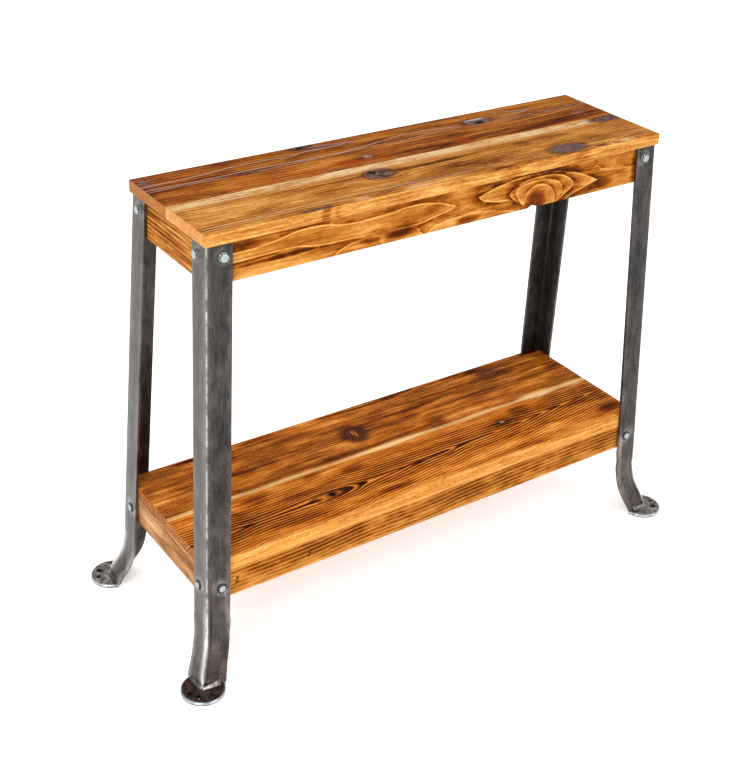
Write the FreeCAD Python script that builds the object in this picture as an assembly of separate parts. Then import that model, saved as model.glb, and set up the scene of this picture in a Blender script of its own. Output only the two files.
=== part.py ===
# Console table: two-board plank top on an apron frame, two-board plank shelf on a fascia frame,
# four splayed angle-iron legs that curve out into drilled round pads, lag screws through the legs.
# Millimetres. Origin on the floor under the middle of the table, +X along the length to the
# right, +Y to the back, +Z up.
import FreeCAD, Part
import math
import os

os.makedirs("parts", exist_ok=True)
V = FreeCAD.Vector

# ---------------------------------------------------------------- driving dimensions
# tabletop
top_length = 1016.0          # 40 in
top_depth = 280.0            # 11 in
overall_height = 888.0       # 35 in
top_board_thickness = 22.5   # 7/8 in planed plank
top_joint_y = -2.5           # edge joint between the two planks
top_edge_round = 1.6         # eased arris

# leg angle iron
leg_corner_x = 504.0         # outer corner of the angle at the tabletop underside
leg_corner_y = 136.4
leg_splay_x = 0.0531         # run out along X per unit of drop
leg_splay_y = 0.0553         # run out along Y per unit of drop
flange_width = 49.3          # 2 in angle
flange_thickness = 5.0       # 3/16 in
leg_heel_round = 4.2         # outer corner of the rolled angle
leg_root_round = 4.0         # inner corner of the rolled angle

# foot
foot_start_z = 128.0         # where the angle starts to curl outwards
pad_radius = 42.5
pad_thickness = 7.0
pad_round = 3.2
pad_out = 33.2               # pad centre, out along the diagonal from the reference line
pad_hole_radius = 4.25       # clears a 5/16 in floor bolt
pad_hole_out = 60.5
pin_hole_radius = 2.8         # smaller second hole beside it
pin_hole_out = 54.5
pin_hole_side = 20.0

# apron
apron_bottom_z = 791.5
apron_thickness = 22.0

# shelf
shelf_top_z = 254.0
shelf_board_thickness = 23.0
shelf_bottom_z = 167.5
fascia_thickness = 22.0
shelf_joint_y = -4.0
shelf_edge_round = 1.2
frame_corner_round = 6.0     # upright corners of apron and shelf, clear of the root of the angle

# leg screws
upper_screw_z = 843.0
lower_screw_z = 199.0
screw_from_corner = 30.8     # from the outer corner of the angle, along the flange
upper_head_across_flats = 14.3
upper_head_height = 5.6
upper_washer_radius = 8.9
upper_washer_height = 0.9
upper_shank_radius = 4.0
lower_head_across_flats = 12.0
lower_head_height = 5.2
lower_shank_radius = 3.2
lower_seat_radius = 9.3      # counterbore that the lower heads sit in
lower_seat_depth = 1.4
screw_in_wood = 17.0
flange_hole_clearance = 0.5

# hidden joinery
block_leg = 38.0             # corner glue blocks
block_height = 52.0
cleat_width = 44.0
cleat_height = 19.0
biscuit_length = 56.0
biscuit_width = 23.0
biscuit_thickness = 4.0

H = overall_height
top_under_z = H - top_board_thickness
apron_half_x = leg_corner_x - flange_thickness
apron_half_y = leg_corner_y - flange_thickness
shelf_drop = top_under_z - shelf_top_z
shelf_half_x = leg_corner_x - flange_thickness + leg_splay_x * shelf_drop
shelf_half_y = leg_corner_y - flange_thickness + leg_splay_y * shelf_drop
fascia_top_z = shelf_top_z - shelf_board_thickness


def corner_x(z):
    return leg_corner_x + leg_splay_x * (top_under_z - z)


def corner_y(z):
    return leg_corner_y + leg_splay_y * (top_under_z - z)


# ---------------------------------------------------------------- helpers
def box(x0, x1, y0, y1, z0, z1):
    return Part.makeBox(x1 - x0, y1 - y0, z1 - z0, V(x0, y0, z0))


def prism(points, z0, z1):
    ring = [V(x, y, z0) for x, y in points]
    face = Part.Face(Part.makePolygon(ring + [ring[0]]))
    return face.extrude(V(0, 0, z1 - z0))


def rounded(shape, r, keep):
    edges = [e for e in shape.Edges if keep(e)]
    return shape.makeFillet(r, edges) if edges else shape


def rod(p, d, r, length):
    return Part.makeCylinder(r, length, p, d)


def one(shape):
    shape = shape.removeSplitter()
    if shape.ShapeType == "Compound" and len(shape.Solids) == 1:
        shape = shape.Solids[0]
    return shape


def mirrored(shape, sx, sy):
    if sx < 0:
        shape = shape.mirror(V(0, 0, 0), V(1, 0, 0))
    if sy < 0:
        shape = shape.mirror(V(0, 0, 0), V(0, 1, 0))
    return shape


def at_plane(e, axis, value, tol=0.01):
    return all(abs(getattr(v.Point, axis) - value) < tol for v in e.Vertexes)


# ---------------------------------------------------------------- leg (built in the +X +Y corner)
def angle_section(flange, half_angle, thick, heel, root):
    """Outline of the angle in its own plane: p runs from the heel inwards, q sideways."""
    c, s = math.cos(half_angle), math.sin(half_angle)
    out = []
    # heel rounding between the two flanges
    dh = heel / math.tan(half_angle)
    centre = heel / s
    a0 = math.pi / 2 - half_angle
    side = [(flange * c, flange * s)]
    arc = []
    for k in range(5):
        a = a0 * (1 - k / 2.0)
        arc.append((centre - heel * math.cos(a), heel * math.sin(a)))
    out += [side[0]] + arc + [(flange * c, -flange * s)]
    # toe of the lower flange, then the inside face
    e = (flange * c + thick * s, -(flange * s - thick * c))
    out.append(e)
    rc = thick / s + root / s
    for k in range(5):
        a = -a0 * (1 - k / 2.0)
        out.append((rc - root * math.cos(a), root * math.sin(a)))
    out.append((flange * c + thick * s, flange * s - thick * c))
    return out


ref_x = corner_x(foot_start_z)
ref_y = corner_y(foot_start_z)
out_x, out_y = math.sqrt(0.5), math.sqrt(0.5)

# heel line of the foot: (out along the diagonal, height, tilt deg, half angle deg, flange length)
foot_stations = [
    (0.0, 128.0, 0.0, 45.0, 49.3),
    (2.2, 106.0, 7.0, 45.0, 49.3),
    (6.2, 87.0, 15.0, 45.2, 49.3),
    (12.6, 69.5, 24.0, 45.6, 49.3),
    (20.6, 54.0, 29.5, 46.4, 49.2),
    (27.6, 41.0, 30.0, 48.2, 49.2),
    (33.2, 30.0, 27.0, 49.6, 49.2),
    (37.4, 19.0, 21.0, 50.0, 49.2),
]
# short steep end where the angle stops on the pad, sunk a little into it
foot_end = (41.2, 3.5, 13.0, 49.6, 49.2)
# ground weld along the outside of each flange: (along the flange from the nose, height, outward width)
weld_near = (1.5, 5.0, 3.0)
weld_far = (38.0, 12.5, 5.0)
pad_inner = 6.0              # the pad starts here, between the toes of the two flanges


def foot_wire(out, z, tilt, half, flange):
    pts = []
    a = math.radians(tilt)
    for p, q in angle_section(flange, math.radians(half), flange_thickness, leg_heel_round, leg_root_round):
        o = out - p * math.cos(a)
        pts.append(V(ref_x + out_x * o - out_y * q, ref_y + out_y * o + out_x * q, z - p * math.sin(a)))
    return Part.makePolygon(pts + [pts[0]])


def plan_point(out, side, z):
    """Point given by its distance out along the diagonal and its offset across it."""
    return V(ref_x + out_x * out + out_y * side, ref_y + out_y * out - out_x * side, z)


def weld_bead(side):
    """Wedge of ground weld between a flange and the pad; side is +1 or -1."""
    run = math.radians(48.6)
    along = (-math.cos(run), side * math.sin(run))
    outward = (math.sin(run), side * math.cos(run))
    rings = []
    for t, height, width in (weld_near, weld_far):
        pts = []
        for off, z in ((-2.0, pad_thickness - 1.5), (-2.0 - 0.25 * height, pad_thickness + height), (-0.25 * height, pad_thickness + height),
                       (width, pad_thickness + 0.4), (width, pad_thickness - 1.5)):
            pts.append(plan_point(40.2 + along[0] * t + outward[0] * off, along[1] * t + outward[1] * off, z))
        rings.append(Part.makePolygon(pts + [pts[0]]))
    return Part.makeLoft(rings, True, True)


def leg_shape():
    # straight length of angle, square cut level with the apron top
    outline = angle_section(flange_width, math.radians(45), flange_thickness, leg_heel_round, leg_root_round)
    pts = []
    for p, q in outline:
        o = -p
        pts.append(V(leg_corner_x + out_x * o - out_y * q, leg_corner_y + out_y * o + out_x * q, top_under_z))
    wire = Part.makePolygon(pts + [pts[0]])
    drop = top_under_z - foot_start_z
    straight = Part.Face(wire).extrude(V(leg_splay_x * drop, leg_splay_y * drop, -drop))
    # curling length that opens out towards the pad
    curl = Part.makeLoft([foot_wire(*s) for s in foot_stations], True, False)
    nose = Part.makeLoft([foot_wire(*foot_stations[-1]), foot_wire(*foot_end)], True, True)
    pcx, pcy = ref_x + out_x * pad_out, ref_y + out_y * pad_out
    pad = Part.makeCylinder(pad_radius, pad_thickness, V(pcx, pcy, 0))
    pad = pad.makeFillet(pad_round, [e for e in pad.Edges if len(e.Vertexes) == 1 and abs(e.Vertexes[0].Z - pad_thickness) < 0.01])
    inner_cut = Part.makeBox(200, 200, 40, V(-200, -100, -10))
    inner_cut.rotate(V(0, 0, 0), V(0, 0, 1), 45)
    inner_cut.translate(V(ref_x + out_x * pad_inner, ref_y + out_y * pad_inner, 0))
    pad = pad.cut(inner_cut)
    floor_cut = box(ref_x - 200, ref_x + 200, ref_y - 200, ref_y + 200, -100, 0)
    curl = curl.cut(floor_cut)
    nose = nose.cut(floor_cut)
    body = straight.fuse([curl, nose, pad, weld_bead(1), weld_bead(-1)])
    hx, hy = ref_x + out_x * pad_hole_out, ref_y + out_y * pad_hole_out
    body = body.cut(Part.makeCylinder(pad_hole_radius, 60, V(hx, hy, -20)))
    body = body.cut(Part.makeCylinder(pin_hole_radius, 60, plan_point(pin_hole_out, pin_hole_side, -20)))
    return body


nx = V(1, 0, leg_splay_x)
nx.normalize()
ny = V(0, 1, leg_splay_y)
ny.normalize()


def screw_seats(z):
    """Where the two screws of a corner meet the outer faces of the angle: (point, outward direction)."""
    cx, cy = corner_x(z), corner_y(z)
    return [(V(cx, cy - screw_from_corner, z), nx), (V(cx - screw_from_corner, cy, z), ny)]


def hexagon(p, d, flats, height, turn):
    n = FreeCAD.Rotation(V(0, 0, 1), d)
    r = flats / math.sqrt(3.0)
    pts = [p + n.multVec(V(r * math.cos(turn + k * math.pi / 3), r * math.sin(turn + k * math.pi / 3), 0)) for k in range(6)]
    head = Part.Face(Part.makePolygon(pts + [pts[0]])).extrude(d * height)
    # chamfered corners of the head, as a cone trims them
    cone = Part.makeCone(r + height * 1.6, r * 0.93, height * 1.001, p, d)
    return head.common(cone)


def lag_screw(seat, d, flats, head_h, washer_r, washer_h, shank_r, through, turn):
    """Head on the seat, shank back through the flange into the board, pointed tip."""
    parts = []
    base = seat
    if washer_h > 0:
        parts.append(rod(seat, d, washer_r, washer_h))
        base = seat + d * washer_h
    parts.append(hexagon(base, d, flats, head_h, turn))
    shank = rod(seat - d * (through + screw_in_wood - 5.0), d, shank_r, through + screw_in_wood - 5.0)
    tip = Part.makeCone(0.6, shank_r, 5.0, seat - d * (through + screw_in_wood), d)
    parts += [shank, tip]
    s = parts[0].fuse(parts[1:])
    return one(s)


def bore_tool(seat, d, shank_r, through):
    """Exact wood bore left by the shank and tip."""
    shank = rod(seat - d * (through + screw_in_wood - 5.0), d, shank_r, through + screw_in_wood - 5.0)
    tip = Part.makeCone(0.6, shank_r, 5.0, seat - d * (through + screw_in_wood), d)
    return shank.fuse(tip)


leg = leg_shape()
upper_screws, upper_bores = [], []
lower_screws, lower_bores = [], []
for k, (p, d) in enumerate(screw_seats(upper_screw_z)):
    through = flange_thickness + 1.5
    leg = leg.cut(rod(p - d * 20, d, upper_shank_radius + flange_hole_clearance, 30))
    upper_screws.append(lag_screw(p, d, upper_head_across_flats, upper_head_height, upper_washer_radius,
                                  upper_washer_height, upper_shank_radius, through, 0.35 + 0.5 * k))
    upper_bores.append(bore_tool(p, d, upper_shank_radius, through))
for k, (p, d) in enumerate(screw_seats(lower_screw_z)):
    through = flange_thickness + 3.0
    seat = p - d * lower_seat_depth
    leg = leg.cut(rod(p - d * 20, d, lower_shank_radius + flange_hole_clearance, 30))
    leg = leg.cut(rod(seat, d, lower_seat_radius, 20))
    lower_screws.append(lag_screw(seat, d, lower_head_across_flats, lower_head_height, 0, 0,
                                  lower_shank_radius, through, 0.9 - 0.4 * k))
    lower_bores.append(bore_tool(seat, d, lower_shank_radius, through))
leg = one(leg)

CORNERS = [("front_left", -1, -1), ("front_right", 1, -1), ("back_left", -1, 1), ("back_right", 1, 1)]

all_upper, all_lower, upper_cuts, lower_cuts = [], [], [], []
for _, sx, sy in CORNERS:
    all_upper += [mirrored(s, sx, sy) for s in upper_screws]
    all_lower += [mirrored(s, sx, sy) for s in lower_screws]
    upper_cuts += [mirrored(s, sx, sy) for s in upper_bores]
    lower_cuts += [mirrored(s, sx, sy) for s in lower_bores]


def bored(shape, tools):
    near = [t for t in tools if t.BoundBox.intersect(shape.BoundBox)]
    for t in near:
        shape = shape.cut(t)
    return one(shape)


# ---------------------------------------------------------------- countersunk wood screws
def wood_screw(p, d, length, r=2.1, head_r=4.0, head_h=2.6):
    """p on the surface the head is flush with, d the way the screw drives."""
    head = Part.makeCone(head_r, r, head_h, p, d)
    shank = rod(p + d * head_h, d, r, length - head_h - 4.0)
    tip = Part.makeCone(r, 0.4, 4.0, p + d * (length - 4.0), d)
    return one(head.fuse([shank, tip]))


# ---------------------------------------------------------------- biscuits between edge-joined planks
def biscuit(x, y, z):
    t = biscuit_thickness
    half = biscuit_length / 2.0
    wide = biscuit_width / 2.0
    a = V(x - half, y, z - t / 2)
    b = V(x, y - wide, z - t / 2)
    c = V(x + half, y, z - t / 2)
    d = V(x, y + wide, z - t / 2)
    edge = Part.Wire([Part.Arc(a, b, c).toShape(), Part.Arc(c, d, a).toShape()])
    return Part.Face(edge).extrude(V(0, 0, t))


# ---------------------------------------------------------------- tabletop
def plank(half_x, y0, y1, z0, z1, joint_y, r):
    """One plank with every outside arris eased; the joint edges stay square."""
    b = box(-half_x, half_x, y0, y1, z0, z1)
    return rounded(b, r, lambda e: not at_plane(e, "y", joint_y))


hx, hy = top_length / 2, top_depth / 2
top_front = plank(hx, -hy, top_joint_y, top_under_z, H, top_joint_y, top_edge_round)
top_back = plank(hx, top_joint_y, hy, top_under_z, H, top_joint_y, top_edge_round)

top_mid_z = top_under_z + top_board_thickness / 2
top_biscuits = [biscuit(x, top_joint_y, top_mid_z) for x in (-390, -130, 130, 390)]
for b in top_biscuits:
    top_front = top_front.cut(b)
    top_back = top_back.cut(b)

# ---------------------------------------------------------------- apron, mitred at the corners
def round_cornered(half_x, half_y, z0, z1, r):
    """Block with rounded upright corners."""
    b = box(-half_x, half_x, -half_y, half_y, z0, z1)
    return b.makeFillet(r, [e for e in b.Edges if abs(e.Vertexes[0].Z - e.Vertexes[-1].Z) > 1.0])


def mitred_frame(half_x, half_y, t, z0, z1):
    front = prism([(-half_x, -half_y), (half_x, -half_y), (half_x - t, -half_y + t), (-half_x + t, -half_y + t)], z0, z1)
    back = prism([(-half_x, half_y), (half_x, half_y), (half_x - t, half_y - t), (-half_x + t, half_y - t)], z0, z1)
    left = prism([(-half_x, -half_y), (-half_x, half_y), (-half_x + t, half_y - t), (-half_x + t, -half_y + t)], z0, z1)
    right = prism([(half_x, -half_y), (half_x, half_y), (half_x - t, half_y - t), (half_x - t, -half_y + t)], z0, z1)
    outline = round_cornered(half_x, half_y, z0, z1, frame_corner_round)
    return [one(b.common(outline)) for b in (front, back, left, right)]


apron_front, apron_back, apron_left, apron_right = mitred_frame(
    apron_half_x, apron_half_y, apron_thickness, apron_bottom_z, top_under_z)

# natural chip in the lower edge beside the big knot of the front board
chip_x = 196.0
chip = Part.makeSphere(15.0, V(chip_x, -apron_half_y - 1.0, apron_bottom_z - 10.5))
apron_front = apron_front.cut(chip)

apron_boards = [bored(b, upper_cuts) for b in (apron_front, apron_back, apron_left, apron_right)]
apron_front, apron_back, apron_left, apron_right = apron_boards


# ---------------------------------------------------------------- corner blocks and their screws
def corner_block(sx, sy, inner_x, inner_y, z0, z1):
    """Square block in the inside corner with its free corner cut off."""
    b = block_leg
    pts = [(inner_x, inner_y), (inner_x - b, inner_y), (inner_x - b, inner_y - b * 0.45),
           (inner_x - b * 0.45, inner_y - b), (inner_x, inner_y - b)]
    s = prism(pts, z0, z1)
    # two screws at different heights so that they pass each other
    za, zb = z0 + block_height * 0.3, z0 + block_height * 0.7
    # both start on the short faces of the block
    s1 = wood_screw(V(inner_x - b * 0.2 - 4, inner_y - b, za), V(0, 1, 0), b + 14.0)
    s2 = wood_screw(V(inner_x - b, inner_y - b * 0.2 - 4, zb), V(1, 0, 0), b + 14.0)
    s = s.cut(s1).cut(s2)
    return mirrored(one(s), sx, sy), [mirrored(s1, sx, sy), mirrored(s2, sx, sy)]


apron_blocks, apron_block_screws = {}, []
for name, sx, sy in CORNERS:
    blk, scr = corner_block(sx, sy, apron_half_x - apron_thickness, apron_half_y - apron_thickness,
                            top_under_z - block_height, top_under_z)
    apron_blocks[name] = blk
    apron_block_screws += scr

shelf_blocks, shelf_block_screws = {}, []
for name, sx, sy in CORNERS:
    blk, scr = corner_block(sx, sy, shelf_half_x - fascia_thickness, shelf_half_y - fascia_thickness,
                            fascia_top_z - block_height, fascia_top_z)
    shelf_blocks[name] = blk
    shelf_block_screws += scr

apron_front, apron_back, apron_left, apron_right = [bored(b, apron_block_screws) for b in (
    apron_front, apron_back, apron_left, apron_right)]


# ---------------------------------------------------------------- cleats under the planks
def cleat(x, half_y, z1):
    c = box(x - cleat_width / 2, x + cleat_width / 2, -half_y, half_y, z1 - cleat_height, z1)
    return rounded(c, 2.0, lambda e: at_plane(e, "z", z1 - cleat_height))


top_cleat_names = [("tabletop_cleat_left", -300.0), ("tabletop_cleat_middle", 0.0), ("tabletop_cleat_right", 300.0)]
top_cleats, top_screws = {}, []
for name, x in top_cleat_names:
    c = cleat(x, apron_half_y - apron_thickness, top_under_z)
    for y in (-80.0, -30.0, 30.0, 80.0):
        s = wood_screw(V(x, y, top_under_z - cleat_height), V(0, 0, 1), cleat_height + 13.0)
        c = c.cut(s)
        top_screws.append(s)
    top_cleats[name] = one(c)
top_front = bored(top_front, top_screws)
top_back = bored(top_back, top_screws)

# ---------------------------------------------------------------- shelf
def shelf_plank(y0, y1):
    """One shelf plank: upright outer corners rounded, top arrises eased, joint edge square."""
    b = box(-shelf_half_x, shelf_half_x, y0, y1, fascia_top_z, shelf_top_z)
    b = one(b.common(round_cornered(shelf_half_x, shelf_half_y, fascia_top_z, shelf_top_z, frame_corner_round)))
    return rounded(b, shelf_edge_round, lambda e: at_plane(e, "z", shelf_top_z) and not at_plane(e, "y", shelf_joint_y))


shelf_front = shelf_plank(-shelf_half_y, shelf_joint_y)
shelf_back = shelf_plank(shelf_joint_y, shelf_half_y)
shelf_mid_z = fascia_top_z + shelf_board_thickness / 2
shelf_biscuits = [biscuit(x, shelf_joint_y, shelf_mid_z) for x in (-410, -137, 137, 410)]
for b in shelf_biscuits:
    shelf_front = shelf_front.cut(b)
    shelf_back = shelf_back.cut(b)

fascia_front, fascia_back, fascia_left, fascia_right = mitred_frame(
    shelf_half_x, shelf_half_y, fascia_thickness, shelf_bottom_z, fascia_top_z)
fascia_front, fascia_back, fascia_left, fascia_right = [bored(bored(b, lower_cuts), shelf_block_screws) for b in (
    fascia_front, fascia_back, fascia_left, fascia_right)]

shelf_cleat_names = [("shelf_cleat_left", -320.0), ("shelf_cleat_middle", 0.0), ("shelf_cleat_right", 320.0)]
shelf_cleats, shelf_screws = {}, []
for name, x in shelf_cleat_names:
    c = cleat(x, shelf_half_y - fascia_thickness, fascia_top_z)
    for y in (-100.0, -38.0, 38.0, 100.0):
        s = wood_screw(V(x, y, fascia_top_z - cleat_height), V(0, 0, 1), cleat_height + 13.0)
        c = c.cut(s)
        shelf_screws.append(s)
    shelf_cleats[name] = one(c)
shelf_front = bored(shelf_front, shelf_screws)
shelf_back = bored(shelf_back, shelf_screws)

# ---------------------------------------------------------------- write one file per node
nodes = {
    "tabletop_front_plank": top_front,
    "tabletop_back_plank": top_back,
    "tabletop_biscuits": Part.makeCompound(top_biscuits),
    "tabletop_cleat_screws": Part.makeCompound(top_screws),
    "apron_front": apron_front,
    "apron_back": apron_back,
    "apron_left": apron_left,
    "apron_right": apron_right,
    "apron_block_screws": Part.makeCompound(apron_block_screws),
    "shelf_front_plank": shelf_front,
    "shelf_back_plank": shelf_back,
    "shelf_biscuits": Part.makeCompound(shelf_biscuits),
    "shelf_cleat_screws": Part.makeCompound(shelf_screws),
    "shelf_fascia_front": fascia_front,
    "shelf_fascia_back": fascia_back,
    "shelf_fascia_left": fascia_left,
    "shelf_fascia_right": fascia_right,
    "shelf_block_screws": Part.makeCompound(shelf_block_screws),
    "leg_upper_lag_screws": Part.makeCompound(all_upper),
    "leg_lower_lag_screws": Part.makeCompound(all_lower),
}
for name, sx, sy in CORNERS:
    nodes["leg_" + name] = mirrored(leg, sx, sy)
    nodes["apron_block_" + name] = apron_blocks[name]
    nodes["shelf_block_" + name] = shelf_blocks[name]
for name, _ in top_cleat_names:
    nodes[name] = top_cleats[name]
for name, _ in shelf_cleat_names:
    nodes[name] = shelf_cleats[name]

for name in sorted(nodes):
    shape = nodes[name]
    shape.exportStep(os.path.join("parts", name + ".step"))
    bb = shape.BoundBox
    print("%-26s solids %2d valid %s vol %10.0f  x %8.2f %8.2f  y %8.2f %8.2f  z %8.2f %8.2f" % (
        name, len(shape.Solids), shape.isValid(), shape.Volume, bb.XMin, bb.XMax, bb.YMin, bb.YMax, bb.ZMin, bb.ZMax))
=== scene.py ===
import bpy
import bmesh
import math
import random
from mathutils import Matrix, Vector


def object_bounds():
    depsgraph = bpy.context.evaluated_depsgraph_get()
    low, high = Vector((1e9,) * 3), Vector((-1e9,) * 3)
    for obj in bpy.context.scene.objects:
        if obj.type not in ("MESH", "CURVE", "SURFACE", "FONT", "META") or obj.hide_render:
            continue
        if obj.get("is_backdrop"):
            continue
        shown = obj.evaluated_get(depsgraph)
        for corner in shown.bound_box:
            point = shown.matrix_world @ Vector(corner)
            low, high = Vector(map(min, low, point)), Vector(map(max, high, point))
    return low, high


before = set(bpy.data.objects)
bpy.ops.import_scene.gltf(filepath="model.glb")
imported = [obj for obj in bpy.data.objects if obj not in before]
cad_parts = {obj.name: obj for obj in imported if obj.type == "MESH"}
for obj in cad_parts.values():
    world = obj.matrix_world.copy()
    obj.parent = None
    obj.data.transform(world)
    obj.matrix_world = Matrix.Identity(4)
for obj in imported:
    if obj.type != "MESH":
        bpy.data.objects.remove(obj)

cad_lo, cad_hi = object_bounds()
cad_lo, cad_hi = tuple(cad_lo), tuple(cad_hi)
random.seed(7)

# ------------------------------------------------------------------ node arithmetic


def lin(c, k=1.0):
    """sRGB 0-255 to linear, with alpha."""
    out = []
    for v in c:
        v = v / 255.0
        out.append((v / 12.92 if v <= 0.04045 else ((v + 0.055) / 1.055) ** 2.4) * k)
    return (*out, 1.0)


class S:
    """A value in a node tree that ordinary arithmetic builds on."""

    def __init__(self, tree, socket):
        self.t, self.s = tree, socket

    def _m(self, op, *others, clamp=False):
        return self.t.math(op, self, *others, clamp=clamp)

    def __add__(self, o): return self._m("ADD", o)
    def __radd__(self, o): return self._m("ADD", o)
    def __sub__(self, o): return self._m("SUBTRACT", o)
    def __rsub__(self, o): return self.t.math("SUBTRACT", o, self)
    def __mul__(self, o): return self._m("MULTIPLY", o)
    def __rmul__(self, o): return self._m("MULTIPLY", o)
    def __truediv__(self, o): return self._m("DIVIDE", o)
    def __rtruediv__(self, o): return self.t.math("DIVIDE", o, self)
    def __neg__(self): return self._m("MULTIPLY", -1.0)
    def pow(self, o): return self._m("POWER", o)
    def abs(self): return self._m("ABSOLUTE")
    def sqrt(self): return self._m("SQRT")
    def fract(self): return self._m("FRACT")
    def floor(self): return self._m("FLOOR")
    def sin(self): return self._m("SINE")
    def max(self, o): return self._m("MAXIMUM", o)
    def min(self, o): return self._m("MINIMUM", o)
    def exp(self): return self._m("EXPONENT")
    def clamp(self): return self.t.math("ADD", self, 0.0, clamp=True)

    def step(self, a, b, lo=0.0, hi=1.0):
        """Smooth ramp from lo at a to hi at b (a may be above b)."""
        n = self.t.new("ShaderNodeMapRange")
        n.interpolation_type = "SMOOTHSTEP"
        n.clamp = True
        if a > b:
            a, b, lo, hi = b, a, hi, lo
        self.t.put(n.inputs[0], self)
        n.inputs[1].default_value, n.inputs[2].default_value = a, b
        n.inputs[3].default_value, n.inputs[4].default_value = lo, hi
        return S(self.t, n.outputs[0])


class Tree:
    def __init__(self, name):
        self.mat = bpy.data.materials.new(name)
        self.mat.use_nodes = True
        self.nt = self.mat.node_tree
        self.nt.nodes.clear()
        self.out = self.new("ShaderNodeOutputMaterial")
        self.bsdf = self.new("ShaderNodeBsdfPrincipled")
        self.nt.links.new(self.bsdf.outputs[0], self.out.inputs[0])
        co = self.new("ShaderNodeTexCoord")
        sep = self.new("ShaderNodeSeparateXYZ")
        self.nt.links.new(co.outputs["Object"], sep.inputs[0])
        self.k = 1.0  # how much darker a colour is laid down than it looks under the studio light
        self.x, self.y, self.z = (S(self, sep.outputs[i]) * 1000.0 for i in range(3))

    def new(self, kind):
        return self.nt.nodes.new(kind)

    def put(self, socket, v):
        if isinstance(v, S):
            self.nt.links.new(v.s, socket)
        else:
            socket.default_value = v

    def math(self, op, *args, clamp=False):
        n = self.new("ShaderNodeMath")
        n.operation = op
        n.use_clamp = clamp
        for i, a in enumerate(args):
            self.put(n.inputs[i], a)
        return S(self, n.outputs[0])

    def vec(self, a, b, c):
        n = self.new("ShaderNodeCombineXYZ")
        for i, v in enumerate((a, b, c)):
            self.put(n.inputs[i], v)
        return S(self, n.outputs[0])

    def noise(self, a, b, c, scale=1.0, detail=2.0, rough=0.5, off=0.0, signed=False):
        n = self.new("ShaderNodeTexNoise")
        n.inputs["Scale"].default_value = scale
        n.inputs["Detail"].default_value = detail
        n.inputs["Roughness"].default_value = rough
        self.put(n.inputs["Vector"], self.vec(a + off, b + off * 0.37, c - off * 0.71))
        s = S(self, n.outputs[0])
        return (s - 0.5) * 2.0 if signed else s

    def curve(self, value, lo, hi, pts, vlo, vhi):
        """Smooth curve through (input, output) points."""
        n = self.new("ShaderNodeFloatCurve")
        self.put(n.inputs["Value"], ((value - lo) / (hi - lo)).clamp())
        c = n.mapping.curves[0]
        pts = [((a - lo) / (hi - lo), (b - vlo) / (vhi - vlo)) for a, b in pts]
        c.points[0].location = pts[0]
        c.points[1].location = pts[-1]
        for p in pts[1:-1]:
            c.points.new(*p)
        n.mapping.update()
        return S(self, n.outputs[0]) * (vhi - vlo) + vlo

    def ramp(self, value, stops):
        n = self.new("ShaderNodeValToRGB")
        self.put(n.inputs[0], value)
        e = n.color_ramp.elements
        while len(e) < len(stops):
            e.new(0.5)
        for el, (p, c) in zip(e, stops):
            el.position = p
            el.color = lin(c, self.k)
        return S(self, n.outputs[0])

    def mix(self, fac, a, b, mode="MIX"):
        """Colour a to colour b by fac. A colour is a socket or an sRGB triple."""
        n = self.new("ShaderNodeMix")
        n.data_type = "RGBA"
        n.blend_type = mode
        self.put(n.inputs[0], fac)
        for i, c in ((6, a), (7, b)):
            self.put(n.inputs[i], c if isinstance(c, S) else lin(c, self.k))
        return S(self, n.outputs[2])

    def bump(self, height, distance, strength=1.0):
        n = self.new("ShaderNodeBump")
        n.inputs["Strength"].default_value = strength
        n.inputs["Distance"].default_value = distance
        self.put(n.inputs["Height"], height)
        self.nt.links.new(n.outputs[0], self.bsdf.inputs["Normal"])

    def finish(self, color, rough, metallic=None, coat=0.0, coat_rough=0.2, spec=0.5):
        i = self.bsdf.inputs
        self.put(i["Base Color"], color if isinstance(color, S) else lin(color))
        self.put(i["Roughness"], rough)
        if metallic is not None:
            self.put(i["Metallic"], metallic)
        i["Coat Weight"].default_value = coat
        i["Coat Roughness"].default_value = coat_rough
        i["Specular IOR Level"].default_value = spec
        return self.mat


# ------------------------------------------------------------------ wood


def bell(t, u, v, u0, v0, ru, rv):
    a, b = (u - u0) / ru, (v - v0) / rv
    return (-(a * a + b * b)).exp()


def smooth_noise(t, u, v, w, su, sv, off, detail=2.0, rough=0.5):
    return t.noise(u / su, v / sv, w / sv, detail=detail, rough=rough, off=off, signed=True)


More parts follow.
